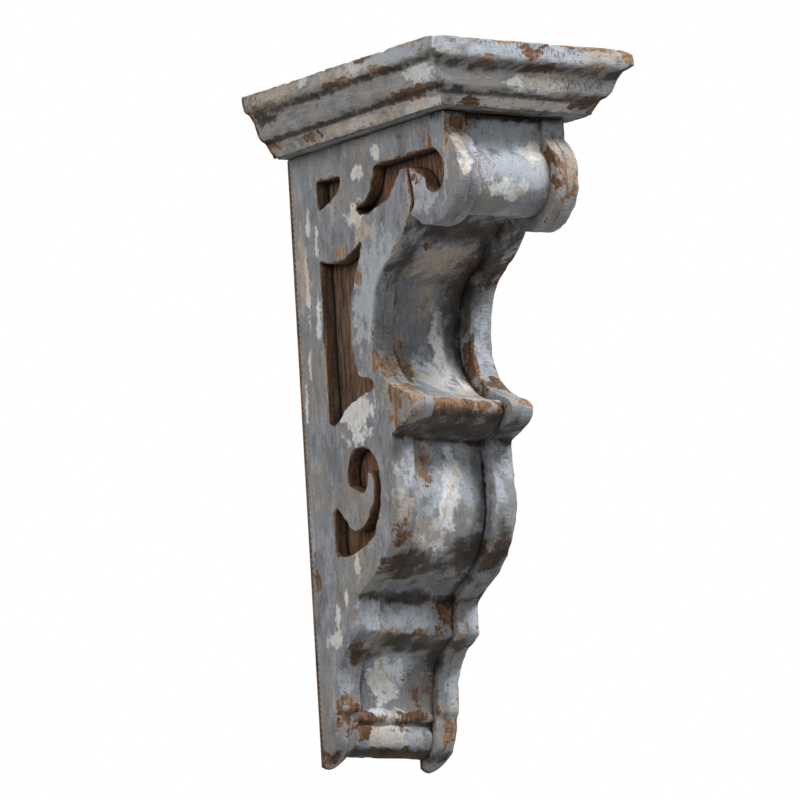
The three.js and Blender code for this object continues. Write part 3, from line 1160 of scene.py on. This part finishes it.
def enclosed(points, normals, tree):
    """How closed in each point is by the wood around it, from 0 to 1."""
    helper = np.where(np.abs(normals[:, 2:3]) < 0.9, [[0.0, 0.0, 1.0]], [[1.0, 0.0, 0.0]])
    one = np.cross(helper, normals)
    one /= np.linalg.norm(one, axis=1, keepdims=True)
    two = np.cross(normals, one)
    total = np.zeros(len(points))
    starts = (points + normals * SHADE_LIFT) * MM
    start_vectors = [Vector(start) for start in starts]
    for x, y, z in ray_fan():
        directions = (x * one + y * two + z * normals).tolist()
        for index, direction in enumerate(directions):
            distance = tree.ray_cast(start_vectors[index], direction, SHADE_REACH * MM)[3]
            if distance is not None:
                total[index] += 1 - distance / (SHADE_REACH * MM)
    return total / SHADE_RAYS


def crevices(mesh, points, normals):
    """How hollow the surface is at each point, spread over a few millimetres."""
    ends = np.empty(len(mesh.edges) * 2, np.int32)
    mesh.edges.foreach_get("vertices", ends)
    one, two = ends.reshape(-1, 2).T
    count = np.bincount(ends, minlength=len(points)).astype(float)

    def around(values):
        total = np.bincount(one, values[two], len(points)) + np.bincount(two, values[one], len(points))
        return total / count

    middle = np.column_stack([around(points[:, axis]) for axis in range(3)])
    span = np.linalg.norm(points[one] - points[two], axis=1)
    size = (np.bincount(one, span, len(points)) + np.bincount(two, span, len(points))) / count
    hollow = ((middle - points) * normals).sum(axis=1) / size
    hollow = np.clip(hollow * CREVICE_GAIN, 0, 1)
    for _ in range(CREVICE_SPREAD):
        hollow = np.maximum(hollow * CREVICE_FADE, around(hollow))
    return np.clip(hollow * CREVICE_STRENGTH, 0, 1)


def corner_lines(points, rims):
    """Nearness to the inner corners where an opening's walls meet the layer behind."""
    across = np.abs(points[:, 0])
    near = (across > LINER_OUTER - 0.6) & (across < BODY_HALF - 1)
    out = np.zeros(len(points))
    away = distances(np.column_stack([-points[near, 1], points[near, 2] - TOP]), rims)
    lift = np.maximum(across[near] - LINER_OUTER, 0)
    out[near] = smooth_step(*CORNER_LINE, np.hypot(away, lift))
    return out


def whole_tree():
    """One ray tree of all the pieces."""
    points = []
    faces = []
    for piece in pieces.values():
        first = len(points)
        points += [vertex.co.copy() for vertex in piece.data.vertices]
        faces += [tuple(first + index for index in face.vertices) for face in piece.data.polygons]
    return BVHTree.FromPolygons(points, faces)


def dress():
    """Store on every point what the paint needs to know about its place."""
    tree = whole_tree()
    rims = opening_rims()
    for piece in pieces.values():
        mesh = piece.data
        points = np.empty(len(mesh.vertices) * 3, np.float32)
        mesh.vertices.foreach_get("co", points)
        points = points.reshape(-1, 3).astype(float) / MM
        normals = np.array([tuple(vertex.normal) for vertex in mesh.vertices])
        for layer, weights in place_weights(points).items():
            store(mesh, layer, weights)
        # Shade, hollows, inner corners and faces that look down are stored so that shade can be painted
        # there, darker in the colour
        store(mesh, "shade", enclosed(points, normals, tree))
        store(mesh, "crevice", crevices(mesh, points, normals))
        store(mesh, "corner", corner_lines(points, rims))
        store(mesh, "under", smooth_step(*UNDER_SLOPE, -normals[:, 2]))
        store(mesh, "front", smooth_step(*FRONT_SLOPE, -normals[:, 1]))
        at_wall = smooth_step(*WALL_BARE, points[:, 1])
        raw = np.empty(len(mesh.vertices), np.float32)
        mesh.attributes["raw"].data.foreach_get("value", raw)
        store(mesh, "raw", np.maximum(raw, at_wall))


# Paint

GRAIN = {"x": (0.16, 1, 1), "y": (1, 0.16, 1), "z": (1, 1, 0.16)}
WOOD_DARK = (0.030, 0.019, 0.013)
WOOD_MIDDLE = (0.125, 0.078, 0.048)
WOOD_TAN = (0.36, 0.232, 0.138)
WOOD_RUST = (0.18, 0.074, 0.030)
WOOD_RAW = (0.21, 0.13, 0.08)
RED_DARK = (0.050, 0.019, 0.010)
RED_LIGHT = (0.25, 0.118, 0.056)
CREAM = (0.60, 0.54, 0.45)
PINK = (0.47, 0.38, 0.31)
WHITE = (0.74, 0.76, 0.77)
GREY_DEEP = (0.150, 0.158, 0.172)
GREY = (0.225, 0.235, 0.252)
GREY_PALE = (0.38, 0.40, 0.43)
# Also used as painted light on lit faces, where the pale places lie
GREY_PALE_AND_LIT = (0.385, 0.415, 0.455)
DUST = (0.25, 0.225, 0.19)
CAP_DUST = (0.345, 0.325, 0.295)
BEIGE = (0.42, 0.35, 0.275)
# The next two also colour painted shade, in recesses, hollows and on faces that look down
BROWN_WASH_AND_SHADE = (0.070, 0.050, 0.036)
GRIME_AND_SHADE = (0.016, 0.012, 0.009)


# Values that dress() stores on the points
STORED = (*WEAR_AND_PAINTED_LIGHT_PLACES, "edge", "raw", "shade", "crevice", "corner", "under", "front")

# Noise: size of the features in mm, stretch, detail, roughness and what is added to the piece's seed
NOISES = {
    "broad": (24, "half", 3, 0.55, 0.0),
    "patchy": (7, "half", 4, 0.66, 1.3),
    "streaky": (1.6, "grain", 3, 0.6, 2.1),
    "fine": (0.9, "half", 3, 0.65, 3.9),
    "other": (15, "half", 4, 0.62, 4.7),
    "scratch": (1.1, "upright", 2, 0.6, 5.5),
    "figure": (2.2, "figure", 4, 0.7, 6.1),
    "rusty": (9, "even", 3, 0.6, 7.7),
    "ribs": (1.5, "across", 2, 0.6, 8.3),
    "dusty": (33, "half", 3, 0.6, 9.2),
}
ARRIS_REACH = 4.0
SHARP_REACH = 1.2
SPECK_SIZE = 3.6
RAW_SHARE = 0.75
RUST_SHARE = 0.65
SMUDGE_SHARE = 0.6
PIT_SHARE = 0.7
BASE_ROUGHNESS = 0.62
SPECULAR = 0.3
RELIEF_STRENGTH = 0.7
RELIEF_DEPTH = 0.5


def add_noises(graph, grain, seed):
    stretches = {
        "grain": grain,
        "half": tuple(0.5 + 0.5 * part for part in grain),
        "figure": tuple(part * (0.45 if part < 1 else 1) for part in grain),
        "even": (1, 1, 1),
        "across": (0.14, 1, 1),
        "upright": (1, 1, 0.3),
    }
    for name, (size, stretch, detail, rough, more) in NOISES.items():
        graph.fields[name] = graph.noise(size, stretches[stretch], detail, rough, seed + more)


def add_ribs(graph):
    """Turn the streaks on a side's front edge into ribs across it, and let the scratches run with them."""
    fields = graph.fields
    fields["front_streaks"] = graph.times(fields["front"], fields["streaky"])
    fields["front_ribs"] = graph.times(fields["front"], fields["ribs"])
    fields["streaky"] = graph.blend(streaky=1, front_streaks=-1, front_ribs=1)
    fields["scratch"] = fields["ribs"]


def add_wear(graph, seed):
    """Where arrises are rubbed, where each coat is gone, where smudges and pits lie, and where grime and
    painted shade go: recesses, hollows and inner corners.
    """
    fields = graph.fields
    rubbed = graph.ramp(0.42, 0.6, other=1)
    fields["arris"] = graph.times(graph.ramp(ARRIS_REACH, 0, edge=1), rubbed)
    fields["sharp"] = graph.times(graph.ramp(SHARP_REACH, 0, edge=1), rubbed)
    fields["first"] = graph.blend(broad=0.32, patchy=0.36, streaky=0.14, fine=0.18)
    fields["second"] = graph.blend(other=0.25, first=0.6, streaky=0.15)
    fields["top_gone"] = graph.ramp(
        0.565, 0.665, first=1, arris=0.1, sharp=0.04, chalk=0.13, bare=0.165, stain=0.195, raw=2, wear=1,
    )
    under_gone = graph.ramp(
        0.55, 0.65, second=1, arris=0.08, sharp=0.05, bare=0.24, stain=0.3, chalk=-0.08, raw=2,
    )
    fields["gone"] = graph.times(under_gone, fields["top_gone"])
    fields["gone_figure"] = graph.times(fields["gone"], fields["figure"])
    fields["smudge"] = graph.ramp(0.55, 1.25, most=0.75, beige=0.8, patchy=0.45, streaky=0.35)
    fields["speck"] = graph.texture("TexVoronoi", SPECK_SIZE, (1, 1, 1), (seed, seed, seed))["Distance"]
    fields["pits"] = graph.times(graph.ramp(0.17, 0.09, speck=1), graph.ramp(0.47, 0.55, other=1))
    # Painted shade with some grime: darkest where the point is closed in, in hollows, at inner corners and in
    # the listed shadow places
    fields["dirt"] = graph.ramp(
        0.66, 1.2, most=0.94, shade=1, crevice=0.6, corner=0.6, wash=0.28, patchy=0.35,
    )


def wood(graph):
    """Brown wood with its figure, plainer where it was never painted, and redder in places."""
    fields = graph.fields
    tone = dict(figure=0.75, patchy=0.3, streaky=0.35, bare=0.09, stain=-0.05, sharp=0.1)
    colour = graph.glaze(WOOD_DARK, WOOD_MIDDLE, 0.53, 0.73, **tone)
    colour = graph.glaze(colour, WOOD_TAN, 0.7, 0.94, **tone)
    never_painted = graph.glaze(WOOD_DARK, WOOD_RAW, 0.3, 0.75, figure=1)
    colour = graph.mix(graph.times(fields["raw"], RAW_SHARE), colour, never_painted)
    rusty = graph.times(graph.ramp(0.46, 0.62, most=0.6, rusty=1), graph.ramp(0.1, 0.8, stain=1, bare=0.5))
    colour = graph.mix(rusty, colour, WOOD_RUST)
    reddish = graph.glaze(RED_DARK, RED_LIGHT, 0.34, 0.68, figure=0.7, patchy=0.3)
    return graph.mix(graph.times(fields["rust"], RUST_SHARE), colour, reddish)


def chalky_coat(graph, haze):
    """The off-white coat under the top one."""
    colour = graph.glaze(CREAM, WHITE, 0.42, 0.62, other=1)
    colour = graph.glaze(colour, PINK, 0.48, 0.64, most=0.6, patchy=1)
    colour = graph.glaze(colour, GREY_PALE, 0.44, 0.66, most=0.6, streaky=1)
    colour = graph.mix(graph.times(graph.fields["smudge"], SMUDGE_SHARE), colour, BEIGE)
    return graph.mix(0.9 * haze, colour, CAP_DUST)


def top_coat(graph, haze):
    """The grey-blue coat, with the lower layers glowing through where it is thin, and paler where the pale
    places lie, partly as painted light.
    """
    colour = graph.glaze(GREY_DEEP, GREY, 0.36, 0.56, broad=0.9, streaky=0.1)
    colour = graph.glaze(colour, GREY_PALE, 0.48, 0.68, most=0.6, other=0.82, streaky=0.18)
    colour = graph.glaze(colour, DUST, 0.43, 0.66, most=0.7, dusty=1)
    colour = graph.glaze(colour, CAP_DUST, 0.36, 0.66, 0.3 * haze, haze, patchy=0.5, streaky=0.5)
    # Paler top coat, partly painted light on lit faces such as the front fascia and the top of the roll
    colour = graph.glaze(colour, GREY_PALE_AND_LIT, 0.42, 0.95, most=0.85, pale=0.62, patchy=0.35, broad=0.35)
    colour = graph.glaze(colour, WHITE, 0.52, 0.95, most=0.8, chalk=0.6, patchy=0.5, streaky=0.3)
    colour = graph.glaze(
        colour, WOOD_MIDDLE, 0.55, 0.95, most=0.7, bare=0.5, stain=0.5, arris=0.2, patchy=0.5, fine=0.3,
    )
    return graph.mix(graph.fields["smudge"], colour, BEIGE)


def dirtied(graph, colour):
    """Dark specks, thin dirty streaks and mottling, a brown glaze, and painted shade in dark brown and
    near-black in recesses, hollows, inner corners, on faces that look down and in the listed shadow places,
    with some grime there too.
    """
    fields = graph.fields
    colour = graph.mix(graph.times(fields["pits"], PIT_SHARE), colour, GRIME_AND_SHADE)
    colour = graph.glaze(colour, GRIME_AND_SHADE, 0.76, 0.86, most=0.6, scratch=1, nick=0.17, patchy=0.2)
    colour = graph.glaze(
        colour, BROWN_WASH_AND_SHADE, 0.54, 0.68, most=0.6, fine=0.45, patchy=0.45, second=0.1, front=0.035, wear=1,
    )
    mottle = graph.ramp(0.32, 0.68, least=0.7, most=1.36, fine=0.4, patchy=0.4, streaky=0.2)
    colour = graph.mix(1.0, colour, mottle, "MULTIPLY")
    # Painted shade in dark brown over recesses, hollows, faces that look down and the listed shadow places,
    # with the brown glaze in its own places
    brown = graph.glaze(GRIME_AND_SHADE, BROWN_WASH_AND_SHADE, 0.42, 0.6, other=0.5, fine=0.5)
    colour = graph.glaze(
        colour, brown, 0.8, 1.8, most=0.93, shade=0.85, under=0.42, crevice=0.5, wash=0.75, pale=-0.1,
        beige=-0.4, patchy=0.5, fine=0.55, broad=0.25,
    )
    # Painted shade, near-black, where the wood closes in and at inner corners, with some grime
    return graph.mix(fields["dirt"], colour, GRIME_AND_SHADE)


def relief(graph):
    """Chips that step down through the coats, streaks and fine grain, and the figure of bare wood."""
    height = graph.blend(
        top_gone=-0.45, gone=-0.5, streaky=0.7, fine=0.6, patchy=0.6, pits=-0.6, gone_figure=1,
    )
    inputs = {"Strength": RELIEF_STRENGTH, "Distance": RELIEF_DEPTH * MM, "Height": height}
    return graph.node("Bump", inputs).outputs["Normal"]


def painted(name, grain, seed, ribbed, wear, haze):
    """Grey-blue paint over an off-white coat over brown wood, worn through in places."""
    material = bpy.data.materials.new(name)
    graph = Graph(material)
    graph.fields["wear"] = wear
    for stored in STORED:
        graph.fields[stored] = graph.read(stored)
    add_noises(graph, grain, seed)
    if ribbed:
        add_ribs(graph)
    add_wear(graph, seed)
    colour = graph.mix(graph.fields["top_gone"], top_coat(graph, haze), chalky_coat(graph, haze))
    colour = graph.mix(graph.fields["gone"], colour, wood(graph))
    graph.surface({
        "Base Color": dirtied(graph, colour),
        "Roughness": graph.blend(BASE_ROUGHNESS, fine=0.22, gone=0.1, dirt=0.08),
        "Specular IOR Level": SPECULAR,
        "Normal": relief(graph),
    })
    return material


GRAIN_OF = {"crown_front": "x", "crown_left": "y", "crown_right": "y", "shelf_board": "x"}
SEED_STEP = 0.31
CAP_WEAR = 0.012
CAP_HAZE = 0.5


def paint_all():
    """Paint each piece along its grain; those of the cap lie across and are more worn and dusty."""
    for number, (node, piece) in enumerate(pieces.items()):
        cap = node in GRAIN_OF
        grain = GRAIN[GRAIN_OF.get(node, "z")]
        wear = CAP_WEAR if cap else 0.0
        haze = CAP_HAZE if cap else 0.0
        ribbed = node.startswith(("fret", "liner"))
        material = painted(f"worn_paint_{node}", grain, SEED_STEP * number, ribbed, wear, haze)
        piece.data.materials.append(material)


dress()
paint_all()
